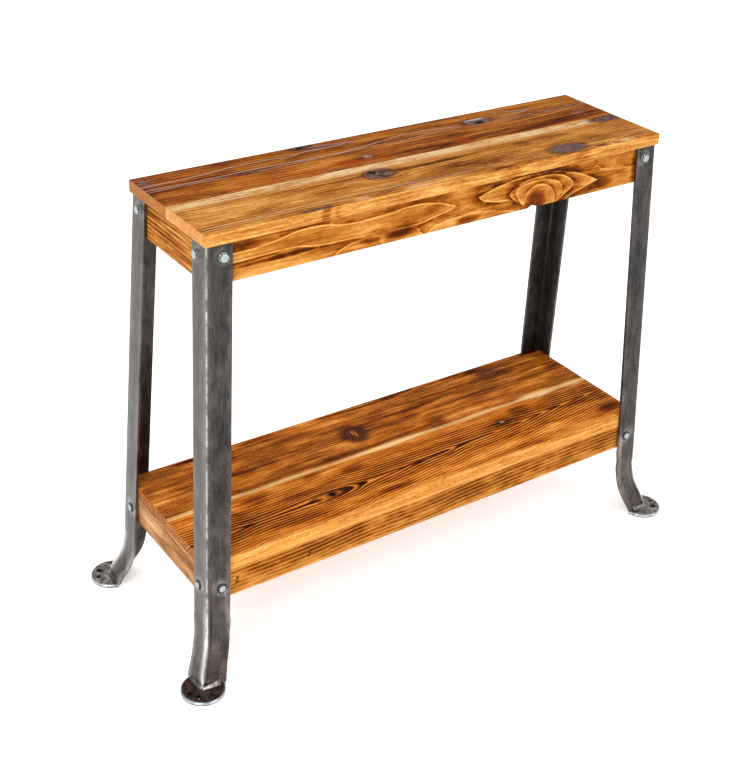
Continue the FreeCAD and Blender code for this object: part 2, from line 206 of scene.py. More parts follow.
class Plank:
    """One board: u runs along it, v across its face, w into it, all in millimetres."""

    def __init__(self, name, axes, w_face, seed, slant=0.9, wave=5.0, jit=1.3):
        self.t = t = Tree(name)
        t.k = 0.78
        c = {"x": t.x, "y": t.y, "z": t.z}
        self.u, self.v0, self.w = c[axes[0]], c[axes[1]], c[axes[2]]
        self.seed, self.w_face = seed, w_face
        n1 = smooth_noise(t, self.u, self.v0, self.w, 210.0, 55.0, seed)
        n2 = smooth_noise(t, self.u, self.v0, self.w, 45.0, 13.0, seed + 3.1, 3.0)
        self.n2 = n2
        self.wob = n1 * wave + n2 * jit
        self.P = t.vec(self.u + n2 * 9.0, self.v0 + n2 * 2.6, 0.0)
        n3 = smooth_noise(t, self.u, self.v0, self.w, 17.0, 11.0, seed + 5.3, 2.0, 0.6)
        self.Q = t.vec(self.u + n3 * 8.0, self.v0 + n3 * 5.0, 0.0)
        # growth rings lean through the thickness
        self.v = self.v0 + (self.w - w_face) * slant

    def push(self, u0, v0, ru, rv, k=0.75):
        """Grain that parts and flows round a knot."""
        e = bell(self.t, self.u, self.v, u0, v0, ru * 1.9, rv * 1.7)
        self.v = self.v - (self.v - v0) * e * k

    def dist(self, u0, v0, ru, rv, P=None):
        """0 at the middle of an ellipse with an uneven outline, 1 at its rim."""
        t = self.t
        a = t.new("ShaderNodeVectorMath")
        a.operation = "MULTIPLY_ADD"
        t.put(a.inputs[0], P or self.P)
        a.inputs[1].default_value = (1.0 / ru, 1.0 / rv, 0.0)
        a.inputs[2].default_value = (-u0 / ru, -v0 / rv, 0.0)
        b = t.new("ShaderNodeVectorMath")
        b.operation = "LENGTH"
        t.nt.links.new(a.outputs[0], b.inputs[0])
        return S(t, b.outputs["Value"])

    def blob(self, u0, v0, ru, rv, soft=0.3):
        return self.dist(u0, v0, ru, rv).step(1.3, soft)

    def blobs(self, items):
        total = None
        for (u0, v0, ru, rv, amp) in items:
            m = self.blob(u0, v0, ru, rv) * amp
            total = m if total is None else total + m
        return total

    def rings(self, spacing, field=None, sharp=2.4, wobble=1.0):
        h = (self.v + self.wob * wobble) / spacing
        if field is not None:
            h = h + field
        f = h.fract()
        return f.pow(sharp) * f.step(1.0, 0.9)

    def fibre(self):
        t, s = self.t, self.seed
        a = smooth_noise(t, self.u, self.v, self.w, 30.0, 1.1, s + 11, 3.0, 0.62)
        b = smooth_noise(t, self.u, self.v, self.w, 120.0, 3.4, s + 17, 3.0, 0.55)
        c = smooth_noise(t, self.u, self.v, self.w, 9.0, 4.5, s + 19, 2.0, 0.6)
        self.mott = c
        d = smooth_noise(t, self.u, self.v, self.w, 260.0, 2.0, s + 13, 2.0, 0.5)
        return a * 0.8 + b * 0.9 + c * 0.6 + d * 0.6

    def blotch(self, su=130.0, sv=34.0, detail=3.0):
        return smooth_noise(self.t, self.u, self.v, self.w, su, sv, self.seed + 23, detail, 0.58)

    def curve_at(self, pts):
        vs = [p[1] for p in pts]
        lo, hi = min(vs) - 6.0, max(vs) + 6.0
        return self.t.curve(self.u, pts[0][0], pts[-1][0], pts, lo, hi)

    def between(self, a, b, fade):
        return self.u.step(a - fade, a + fade) * self.u.step(b + fade, b - fade)

    def stroke(self, pts, width, fade=16.0, ragged=1.0):
        """Signed distance from a line through (u, v) points, in line widths, and its strength along u."""
        d = (self.v0 - self.curve_at(pts) - self.n2 * ragged * 1.5) / width
        return d, self.between(pts[0][0], pts[-1][0], fade)

    def line(self, pts, width, fade=16.0, ragged=1.0):
        d, amp = self.stroke(pts, width, fade, ragged)
        return (-(d * d)).exp() * amp

    def loop(self, top, bottom, reach=0.7, ragged=1.0):
        """Distance inside a closed tongue of grain, in millimetres, negative outside it."""
        ua, ub = top[0][0], top[-1][0]
        v = self.v0 + self.n2 * ragged
        d = (self.curve_at(top) - v).min(v - self.curve_at(bottom))
        return d - (self.u - ub).max(0.0) * reach - (self.u * -1.0 + ua).max(0.0) * reach


def wood_finish(p, color, late, fib, extra_height=None, rough=0.44, spec=0.016, bump=0.0006, coat=0.0):
    t = p.t
    height = fib * 0.3 - late * 0.6
    if extra_height is not None:
        height = height + extra_height
    t.bump(height, bump)
    r = (late * -0.05 + fib * 0.09 + rough).clamp()
    return t.finish(color, r, coat=coat, coat_rough=0.25, spec=spec)


def plain_wood(name, axes, w_face, seed, stops, spacing=7.0, line=0.3, dark=0.5, field=None, slant=0.9, sharp=2.0,
               base=0.38, rough=0.48, k=0.78, wobble=1.0, su=120.0, sv=30.0, fine=0.26, extra=None, wave=5.0):
    p = Plank(name, axes, w_face, seed, slant, wave)
    p.t.k = k
    late = p.rings(spacing, field(p) if field else None, sharp, wobble)
    fib = p.fibre()
    bl = p.blotch(su, sv)
    tone = late * line * (bl * 1.2 + 0.8).clamp() + fib * fine + bl * dark + base
    if extra:
        tone = tone + extra(p)
    col = p.t.ramp(tone.clamp(), stops)
    return wood_finish(p, col, late, fib, rough=rough)


AMBER = [(0.0, (244, 190, 112)), (0.22, (222, 154, 76)), (0.46, (188, 116, 44)), (0.72, (122, 60, 14)), (1.0, (48, 20, 6))]
WALNUT = [(0.0, (228, 156, 78)), (0.24, (198, 122, 46)), (0.48, (158, 84, 22)), (0.74, (98, 40, 8)), (1.0, (38, 12, 4))]
HONEY = [(0.0, (250, 202, 124)), (0.2, (234, 168, 86)), (0.45, (196, 122, 44)), (0.7, (144, 74, 12)), (1.0, (78, 34, 5))]
RUSSET = [(0.0, (246, 178, 96)), (0.22, (216, 134, 50)), (0.46, (172, 90, 20)), (0.72, (104, 44, 10)), (1.0, (34, 14, 8))]
EMBER = [(0.0, (246, 170, 84)), (0.22, (216, 130, 44)), (0.46, (168, 84, 16)), (0.72, (102, 42, 8)), (1.0, (34, 13, 5))]
RAW = [(0.0, (226, 190, 140)), (0.3, (206, 162, 108)), (0.6, (178, 130, 80)), (1.0, (120, 80, 46))]
SAP = [(0.0, (246, 216, 170)), (0.4, (228, 184, 128)), (0.75, (204, 146, 84)), (1.0, (160, 96, 44))]
ASH = [(0.0, (168, 146, 138)), (0.4, (122, 96, 92)), (0.75, (76, 52, 52)), (1.0, (40, 24, 24))]


def knot(p, col, u0, v0, ru, rv, rings, fib, ramp=ASH, rim=(60, 32, 22), strength=0.95, base=0.3):
    """A dead knot: dark bark line round a greyed, ringed heart."""
    t = p.t
    d = p.dist(u0, v0, ru, rv, p.Q)
    conc = ((d * rings + p.n2 * 0.3).fract()).pow(1.6)
    kc = t.ramp((conc * 0.34 + fib * 0.18 + base + 0.03 + p.mott * 0.16).clamp(), ramp)
    e = d - 1.08
    col = t.mix((e * e * -16.0).exp() * 0.62, col, rim)
    return t.mix(d.step(1.16, 0.84) * strength, col, kc)


def relief(p, col, pts, width, light=(190, 158, 138), dark=(66, 34, 20), amount=0.8, fade=16.0, ragged=1.0, broken=0.0):
    """A raised weathered line, pale with its own dark line behind it."""
    t = p.t
    d, amp = p.stroke(pts, width, fade, ragged)
    if broken:
        amp = amp * smooth_noise(t, p.u, p.v0, p.w, 12.0, 9.0, p.seed + pts[0][1]).step(-0.25, 0.15, 1.0 - broken, 1.0)
    e = d + 1.9
    col = t.mix((-(e * e)).exp() * amp * amount * 0.8, col, dark)
    return t.mix((-(d * d)).exp() * amp * amount, col, light)


def top_front():
    p = Plank("plank_top_front", "xyz", 888.0, 3.0)
    t = p.t
    for k in ((-108, -49, 30, 24), (289, -113, 42, 20), (470, -19, 34, 14), (-292, -137, 30, 10)):
        p.push(*k)
    late = p.rings(9.0, sharp=1.8)
    fib, bl = p.fibre(), p.blotch(110.0, 22.0)
    tone = late * 0.24 + fib * 0.36 + bl * 0.50 + 0.355
    tone = tone + p.blobs([(-10, -52, 92, 6, 0.34), (-205, -46, 60, 4, 0.28), (80, -90, 120, 26, 0.24), (280, -70, 60, 22, 0.10),
                           (-230, -84, 60, 16, 0.14), (225, -50, 22, 14, 0.18), (-420, -64, 90, 26, -0.20), (-300, -80, 40, 20, -0.10),
                           (110, -34, 200, 6, -0.08), (10, -130, 60, 14, -0.06), (110, -138, 30, 8, 0.34), (400, -96, 70, 14, 0.10),
                           (430, -50, 60, 14, 0.12), (190, -122, 60, 14, 0.10), (-60, -100, 70, 12, 0.12)])
    col = t.ramp(tone.clamp(), AMBER)
    # pale sapwood beside the joint
    edge = p.v0 + bl * 9.0 + fib * 4.0 + p.n2 * 4.0
    sap = edge.step(-33.0, -22.0) * (p.u + p.n2 * 20.0).step(458.0, 418.0)
    sap_c = t.ramp((fib * 0.85 + bl * 0.8 + p.n2 * 0.3 + 0.42 + p.blob(-300, -14, 160, 9) * 0.12).clamp(), SAP)
    col = t.mix(sap * 0.94, col, sap_c)
    # weathered lines
    col = relief(p, col, [(-508, -117), (-408, -116), (-340, -112), (-240, -111), (-160, -113), (-90, -114), (-40, -112)], 1.25, (228, 186, 136), amount=0.95, broken=0.35)
    col = relief(p, col, [(-508, -126), (-420, -124), (-350, -120), (-290, -121), (-220, -127)], 1.15, (220, 176, 122), amount=0.9, broken=0.4)
    col = relief(p, col, [(-130, -106), (-100, -111), (-60, -112), (0, -116), (60, -118)], 1.3, (176, 150, 138), amount=0.9, broken=0.4)
    col = relief(p, col, [(60, -118), (140, -112), (220, -108), (262, -106)], 1.0, (206, 160, 108), broken=0.6)
    col = relief(p, col, [(310, -98), (380, -102), (440, -104), (508, -108)], 1.0, (206, 160, 112), broken=0.5)
    # curly grain at the front right corner
    curl = (smooth_noise(t, p.u, p.v0, p.w, 13.0, 7.0, 77.0, 2.0) * 3.2 + p.u / 21.0).sin()
    cz = p.blob(384, -132, 66, 11) * 0.9
    col = t.mix((curl.step(0.1, 0.8) * cz * 1.1).clamp(), col, (244, 206, 156))
    col = t.mix((curl.step(-0.2, -0.9) * cz * 1.0).clamp(), col, (84, 46, 22))
    col = t.mix(p.blob(-78, -133, 34, 9) * 0.7, col, (240, 192, 136))
    col = t.mix(p.blob(-200, -133, 20, 8) * 0.4, col, (244, 206, 160))
    col = t.mix(p.blob(476, -118, 22, 5) * 0.55, col, (86, 66, 64))
    # knots
    col = t.mix(p.blob(-136, -44, 26, 10) * 0.5, col, (96, 56, 38))
    col = knot(p, col, -108, -50, 28, 19, 2.3, fib, base=0.40, rim=(52, 28, 18))
    col = t.mix(p.blob(-96, -44, 16, 6) * 0.6, col, (60, 36, 28))
    col = t.mix(p.blob(-92, -56, 10, 5) * 0.6, col, (150, 122, 118))
    col = knot(p, col, 289, -114, 40, 20, 4.2, fib, base=0.36)
    col = t.mix(p.dist(303, -112, 9, 7, p.Q).step(1.3, 0.5) * 0.45, col, (76, 56, 62))
    col = knot(p, col, 478, -18, 42, 13, 2.0, fib, base=0.48, rim=(70, 48, 44))
    col = knot(p, col, -292, -140, 31, 9, 2.0, fib, base=0.42)
    col = t.mix(p.dist(-104, -66, 9, 8, p.Q).step(1.2, 0.6) * 0.6, col, (70, 46, 50))
    hole = p.dist(-115.5, -38.0, 8.0, 9.0, p.Q).step(1.15, 0.7).max(p.dist(-109.0, -57.0, 5.0, 4.0, p.Q).step(1.15, 0.7) * 0.8)
    col = t.mix(p.dist(-110, -44, 3.4, 3.8, p.Q).step(1.2, 0.6) * 0.8, col, (190, 122, 52))
    col = t.mix(hole * 0.95, col, (40, 22, 14))
    # ends and front edge are bright
    gold = t.ramp((late * 0.12 + fib * 0.46 + bl * 0.34 + 0.28 + p.blobs([(-276, -140, 10, 9, 0.28), (-250, -140, 5, 9, 0.12), (130, -140, 26, 6, 0.2), (305, -140, 22, 6, 0.25), (-60, -140, 40, 6, -0.1)])).clamp(), HONEY)
    front = p.v0.step(-138.2, -139.6)
    col = t.mix(front * 0.96, col, gold)
    ends = p.u.abs().step(507.0, 507.7)
    col = t.mix(ends * 0.9, col, t.ramp((late * 0.12 + fib * 0.16 + p.n2 * 0.3 + 0.34).clamp(), [(0.0, (250, 196, 136)), (0.4, (226, 156, 90)), (1.0, (150, 88, 40))]))
    under = p.w.step(867.0, 866.0)
    col = t.mix(under * 0.7, col, (196, 150, 98))
    return wood_finish(p, col, late, fib, hole * -5.0)


def top_back():
    p = Plank("plank_top_back", "xyz", 888.0, 9.0)
    t = p.t
    for k in ((-164, 131, 25, 14), (229.5, 94, 44, 18), (-77, 32, 12, 10), (470, 30, 30, 20)):
        p.push(*k)
    late = p.rings(10.5, sharp=1.8)
    fib, bl = p.fibre(), p.blotch(120.0, 20.0)
    tone = late * 0.24 + fib * 0.36 + bl * 0.48 + 0.425
    tone = tone + p.blobs([(300, 18, 260, 12, 0.24), (130, 44, 80, 12, 0.22), (-120, 27, 30, 8, 0.34), (-300, 66, 60, 8, 0.26), (-480, 100, 60, 20, 0.14),
                           (-180, 40, 110, 22, -0.22), (-400, 40, 110, 14, -0.12), (330, 128, 150, 12, -0.18), (20, 128, 90, 12, -0.10), (260, 60, 130, 14, -0.10),
                           (40, 66, 130, 10, -0.16), (450, 36, 60, 12, 0.16), (-508, 60, 14, 60, 0.14), (-300, 130, 150, 10, 0.06), (0, 18, 60, 8, 0.10),
                           (-440, 14, 70, 9, 0.16), (430, 66, 80, 12, -0.08), (120, 112, 60, 10, 0.14), (-20, 95, 60, 7, 0.20),
                           (380, 14, 150, 13, 0.22), (400, 44, 120, 9, 0.16), (420, 104, 70, 12, -0.16), (-40, 104, 60, 9, -0.10), (180, 120, 60, 10, -0.12)])
    tone = tone + p.line([(180, 13), (300, 16), (420, 18), (508, 19)], 2.4) * -0.34 + p.line([(160, 27), (300, 30), (508, 33)], 2.6) * 0.2
    col = t.ramp(tone.clamp(), WALNUT)
    col = t.mix(p.blobs([(-122, 24, 42, 12, 0.85), (-60, 14, 60, 9, 0.5), (135, 22, 26, 14, 0.75), (400, 6, 130, 6, 0.5), (-250, 20, 90, 14, 0.25)]).clamp(), col, (164, 64, 4))
    col = t.mix(p.blob(-94, 30, 16, 7) * 0.8, col, (84, 30, 6))
    col = t.mix(p.blobs([(300, 112, 110, 22, 0.5), (440, 112, 70, 18, 0.6), (120, 124, 90, 12, 0.4)]).clamp(), col, t.ramp((fib * 0.4 + 0.4).clamp(), [(0.0, (206, 138, 52)), (0.5, (172, 104, 24)), (1.0, (120, 62, 8))]))
    # violet-grey weathering
    g = p.blobs([(-110, 113, 62, 7, 0.75), (-300, 68, 34, 5, 0.6), (-150, 126, 40, 9, 0.4), (356, 100, 26, 5, 0.8), (-495, 104, 20, 30, 0.5), (455, 42, 16, 14, 0.5)])
    col = t.mix(g.clamp(), col, t.ramp((fib * 0.5 + 0.42).clamp(), ASH))
    pale = (204, 164, 146)
    for pts, wd, br in (
        ([(-508, 92), (-430, 94), (-364, 99), (-302, 106), (-240, 105), (-214, 101), (-190, 103), (-164, 109), (-120, 108), (-90, 111), (-60, 115)], 1.35, 0.3),
        ([(-160, 127), (-130, 124), (-100, 120), (-75, 117), (-56, 114)], 1.3, 0.4),
        ([(-508, 75), (-380, 74), (-300, 77), (-208, 75), (-130, 73), (-70, 77), (-30, 84), (10, 91), (60, 97), (117, 95), (150, 90), (180, 86)], 1.35, 0.25),
        ([(-300, 62), (-200, 69), (-100, 72), (0, 73), (80, 76), (170, 80)], 1.15, 0.8),
        ([(280, 122), (310, 116), (345, 104), (372, 99)], 1.2, 0.5),
        ([(250, 86), (300, 92), (340, 95), (372, 98)], 1.2, 0.6),
        ([(190, 74), (300, 77), (400, 80), (508, 86)], 1.0, 0.9),
        ([(290, 68), (400, 72), (508, 77)], 1.0, 0.9),
        ([(-508, 66), (-420, 68), (-350, 64)], 1.0, 0.8),
    ):
        col = relief(p, col, pts, wd * 1.15, pale, (54, 24, 12), amount=0.92, broken=br * 0.8)
    col = knot(p, col, -164, 134, 22, 12, 2.0, fib, base=0.5)
    col = knot(p, col, 229.5, 93, 33, 13, 1.7, fib, base=0.36)
    col = t.mix(p.dist(230, 103, 27, 5).step(1.25, 0.5) * 0.85, col, (190, 170, 168))
    col = knot(p, col, -75, 33, 9, 8, 1.4, fib, base=0.10, rim=(74, 30, 12))
    col = t.mix(p.dist(-73, 30, 2.6, 2.2, p.Q).step(1.2, 0.6) * 0.8, col, (50, 26, 20))
    hole = p.dist(228.0, 85.0, 9.0, 6.0, p.Q).step(1.15, 0.7).max(p.dist(-165.0, 131.0, 5.0, 4.0, p.Q).step(1.15, 0.7))
    col = t.mix(hole * 0.95, col, (30, 18, 14))
    rear = p.v0.step(138.6, 139.8)
    col = t.mix(rear * 0.88, col, t.ramp((late * 0.2 + fib * 0.4 + bl * 0.4 + 0.42).clamp(), WALNUT))
    ends = p.u.abs().step(507.0, 507.7)
    col = t.mix(ends * 0.8, col, t.ramp((late * 0.14 + fib * 0.2 + p.n2 * 0.3 + 0.42).clamp(), [(0.0, (236, 174, 110)), (0.4, (200, 130, 68)), (1.0, (104, 56, 24))]))
    under = p.w.step(867.0, 866.0)
    col = t.mix(under * 0.7, col, (176, 128, 82))
    return wood_finish(p, col, late, fib, hole * -5.0)


def apron_front():
    p = Plank("plank_apron_front", "xzy", -131.4, 14.0, slant=0.0)
    t = p.t
    u = p.u
    late = p.rings(13.0, sharp=1.4, wobble=1.6)
    fib = p.fibre()
    bl = p.blotch(90.0, 16.0)
    tone = fib * 0.24 + bl * 0.42 + late * 0.06 + 0.37
    tone = tone + p.blobs([(-447, 854, 60, 9, 0.36), (-390, 862, 60, 4, 0.2), (40, 800, 30, 8, 0.42), (378, 811, 26, 14, 0.34), (420, 814, 26, 14, 0.14),
                           (-180, 806, 24, 7, 0.34), (-110, 804, 34, 9, 0.50), (-22, 855, 26, 6, 0.20), (72, 858, 40, 5, 0.16), (350, 846, 40, 12, 0.12),
                           (-260, 836, 120, 8, 0.12), (-80, 832, 60, 8, 0.16), (-40, 838, 22, 9, 0.22), (-400, 800, 60, 10, -0.12), (-300, 800, 40, 8, -0.1),
                           (-148, 800, 8, 10, -0.2), (260, 800, 30, 8, -0.12), (330, 800, 30, 10, 0.1), (160, 850, 30, 5, 0.24), (0, 800, 14, 9, -0.12),
                           (150, 830, 30, 9, -0.12), (50, 826, 40, 9, 0.0), (420, 858, 50, 8, 0.12), (455, 826, 7, 40, 0.30), (-455, 826, 5, 40, 0.16)])
    loops = [
        # (top, bottom, dark outside, dark inside, light line, fall-off)
        ([(-520, 842), (-454, 842.7), (-421, 842.7), (-387, 846), (-354, 851), (-330, 856), (-300, 857), (-262, 854), (-244, 850), (-204, 846.7), (-137, 849.5), (-87, 853), (-37, 847.7), (-4, 837.7), (11, 832)],
         [(-520, 825), (-454, 824), (-400, 825), (-340, 825), (-287, 818), (-200, 815), (-120, 813), (-81, 812.7), (-40, 819), (-10.7, 824), (11, 832)], 0.34, 0.10, 0.26, 5.0),
        ([(-240, 802), (-200, 811), (-150, 813), (-110, 814), (-84, 811), (-73, 806), (-69, 798)],
         [(-240, 780), (-150, 780), (-69, 780)], 0.34, 0.14, 0.26, 4.0),
        ([(61, 838), (90, 847), (130, 855), (170, 858.7), (217, 858), (250, 855), (277, 848.7), (304, 842), (330, 831), (361, 817)],
         [(61, 838), (72, 829), (97, 821), (134, 816), (164, 803), (180, 788), (230, 782), (270, 786), (292, 797), (322, 806), (361, 817)], 0.52, 0.0, 0.26, 6.0),
        ([(136, 830), (150, 839), (180, 850), (217, 852), (254, 848), (280, 838), (297, 822)],
         [(136, 830), (140, 822), (150, 814), (165, 805), (180, 792), (200, 784), (250, 788), (274, 803), (290, 812), (297, 822)], 0.60, 0.0, 0.26, 5.0),
        ([(150, 832), (164, 842), (190, 845), (217, 844), (240, 840), (258, 832), (269, 818)],
         [(150, 832), (160, 812), (180, 796), (220, 784), (255, 792), (265, 804), (269, 818)], 0.44, 0.0, 0.24, 4.0),
        ([(176, 822), (200, 836), (217, 835), (235, 828), (247, 814), (252, 800)],
         [(176, 822), (180, 800), (200, 786), (240, 786), (252, 800)], 0.34, 0.0, 0.2, 3.4),
        ([(-40, 802), (-20, 806), (17, 810), (50, 811), (77, 809), (110, 803), (150, 795)],
         [(-40, 780), (50, 780), (150, 780)], 0.24, 0.06, 0.22, 4.0),
        ([(334, 792), (350, 848), (367, 839), (417, 831), (454, 829), (520, 828)],
         [(334, 780), (400, 780), (520, 780)], 0.22, 0.12, 0.18, 6.0),
    ]
    shade = t.noise(u / 34.0, p.v0 / 12.0, 0.0 * u, detail=2, off=8.0).step(0.34, 0.6, 0.35, 1.0)
    dark, light = None, None
    for top, bottom, a_out, a_in, a_line, fall in loops:
        d = p.loop(top, bottom, ragged=0.9)
        m = (d.min(0.0) / (fall * 2.1)).exp() * d.step(2.0, -1.8) * (a_out * 1.62)
        if a_in:
            m = m.max((d.max(0.0) * (-1.0 / (fall * 2.0))).exp() * d.step(1.5, 4.0) * (a_in * 1.6))
        e = (d - 1.7) / 1.7
        ln = (-(e * e)).exp() * a_line
        dark = m if dark is None else dark.max(m)
        light = ln if light is None else light.max(ln)
    eye = p.loop([(-470, 814), (-400, 818), (-337, 821.5), (-300, 819), (-287, 816)], [(-470, 814), (-400, 812), (-350, 811), (-310, 812.5), (-287, 816)], ragged=0.5)
    dark = dark.max(eye.step(-0.8, 2.4) * 0.85)
    light = light.max((-((eye + 1.8) * (eye + 1.8)) * 0.7).exp() * 0.22)
    tone = tone + dark * shade - light
    col = t.ramp(tone.clamp(), HONEY)
    # the live knot above the chipped lower edge
    d = p.dist(202, 802, 25, 24, p.Q)
    conc = ((d * 3.0).fract()).pow(1.6)
    kc = t.ramp((conc * 0.4 + fib * 0.3 + d.step(0.95, 0.4) * 0.3 + 0.30).clamp(), [(0.0, (196, 104, 30)), (0.45, (136, 56, 10)), (1.0, (60, 22, 6))])
    col = t.mix(d.step(1.25, 0.8) * 0.95, col, kc)
    chip = p.dist(197, 790, 14, 7, p.Q).step(1.2, 0.7)
    col = t.mix(chip * 0.7, col, (96, 46, 20))
    return wood_finish(p, col, late, fib + (dark - light) * -0.6)


def shelf_back():
    p = Plank("plank_shelf_back", "xyz", 254.0, 21.0, wave=3.5, jit=0.5)
    t = p.t
    t.k = 0.93
    for k in ((-56, 69, 30, 30), (363, 135, 38, 26)):
        p.push(*k, k=0.30)
    late = p.rings(5.4, sharp=1.1, wobble=0.8)
    fib = p.fibre()
    bl = smooth_noise(t, p.u, p.v0, p.w, 70.0, 30.0, 71.0, 4.0, 0.62) * 0.6 + smooth_noise(t, p.u, p.v0, p.w, 170.0, 9.0, 72.0, 4.0, 0.6) * 0.7
    amp = (smooth_noise(t, p.u, p.v0, p.w, 90.0, 18.0, 74.0, 3.0) * 1.6 + 0.75).clamp()
    hair = smooth_noise(t, p.u, p.v, p.w, 300.0, 1.6, 76.0, 3.0, 0.6).step(0.05, 0.5)
    tone = late * 0.86 * amp + fib * 0.26 + bl * 0.52 + 0.20 + hair * 0.34
    tone = tone + p.blobs([(-56, 69, 46, 44, 0.12), (-320, 80, 60, 40, 0.14), (60, 92, 110, 14, 0.20), (120, 20, 30, 30, 0.24), (-410, 156, 40, 6, 0.5),
                           (-250, 150, 50, 14, 0.24), (110, 158, 60, 7, 0.46), (300, 156, 60, 14, 0.44), (505, 160, 40, 9, 0.7), (363, 135, 60, 44, 0.22),
                           (510, 84, 30, 26, 0.30), (430, 108, 60, 30, 0.14), (-500, 66, 40, 30, -0.10), (200, 24, 50, 22, -0.20), (-60, 130, 70, 20, -0.10),
                           (-190, 50, 50, 14, -0.10), (-420, 40, 60, 20, -0.04), (-230, 100, 30, 16, 0.10), (40, 135, 50, 10, -0.08), (300, 60, 90, 20, 0.08)])
    for pts, wd, g in (([(-30, 66), (60, 69), (180, 68), (300, 70), (508, 64)], 2.4, 0.34), ([(-531, 112), (-300, 118), (-100, 120), (60, 118), (200, 116), (360, 112)], 5.0, 0.20),
                       ([(-531, 60), (-300, 64), (-90, 70)], 3.0, 0.22), ([(-240, 10), (-60, 12), (100, 14)], 3.5, 0.26), ([(120, 92), (240, 96), (400, 92)], 2.6, 0.22),
                       ([(-100, 158), (0, 154), (60, 151), (150, 150), (200, 155), (260, 158)], 2.2, 0.4)):
        tone = tone + p.line(pts, wd, ragged=0.5) * g
    col = t.ramp(tone.clamp(), RUSSET)
    col = knot(p, col, -56, 69, 25, 28, 2.2, fib, [(0.0, (156, 84, 36)), (0.4, (92, 48, 28)), (1.0, (34, 20, 18))], (40, 22, 22), 0.92, 0.46)
    col = t.mix(p.dist(-55, 70, 5.5, 15, p.Q).step(1.2, 0.5) * 0.8, col, (196, 112, 48))
    col = t.mix(p.dist(-55, 70, 1.6, 9, p.Q).step(1.2, 0.5) * 0.7, col, (72, 34, 18))
    col = t.mix(p.dist(360, 128, 34, 24).step(1.3, 0.2) * 0.8, col, t.ramp((fib * 0.5 + p.mott * 0.4 + 0.5).clamp(), [(0.0, (150, 92, 52)), (0.5, (84, 46, 30)), (1.0, (40, 24, 18))]))
    sap = (p.v0 + bl * 1.5).step(4.0, -0.5)
    glow = p.blobs([(-20, -1, 110, 7, 0.9), (390, 1, 60, 10, 1.0), (490, 0, 40, 9, 0.5), (-430, -1, 80, 6, 0.6), (230, -1, 60, 6, 0.5), (-250, -1, 70, 6, 0.5)])
    col = t.mix((sap * 0.45 + glow * 0.6).clamp(), col, (250, 204, 138))
    col = t.mix(p.u.abs().step(530.4, 531.2) * 0.85, col, t.ramp((late * 0.45 + fib * 0.7 + p.n2 * 0.35 + 0.34).clamp(), [(0.0, (206, 138, 82)), (0.5, (156, 90, 42)), (1.0, (84, 40, 16))]))
    return wood_finish(p, col, late, fib, rough=0.42, spec=0.018)


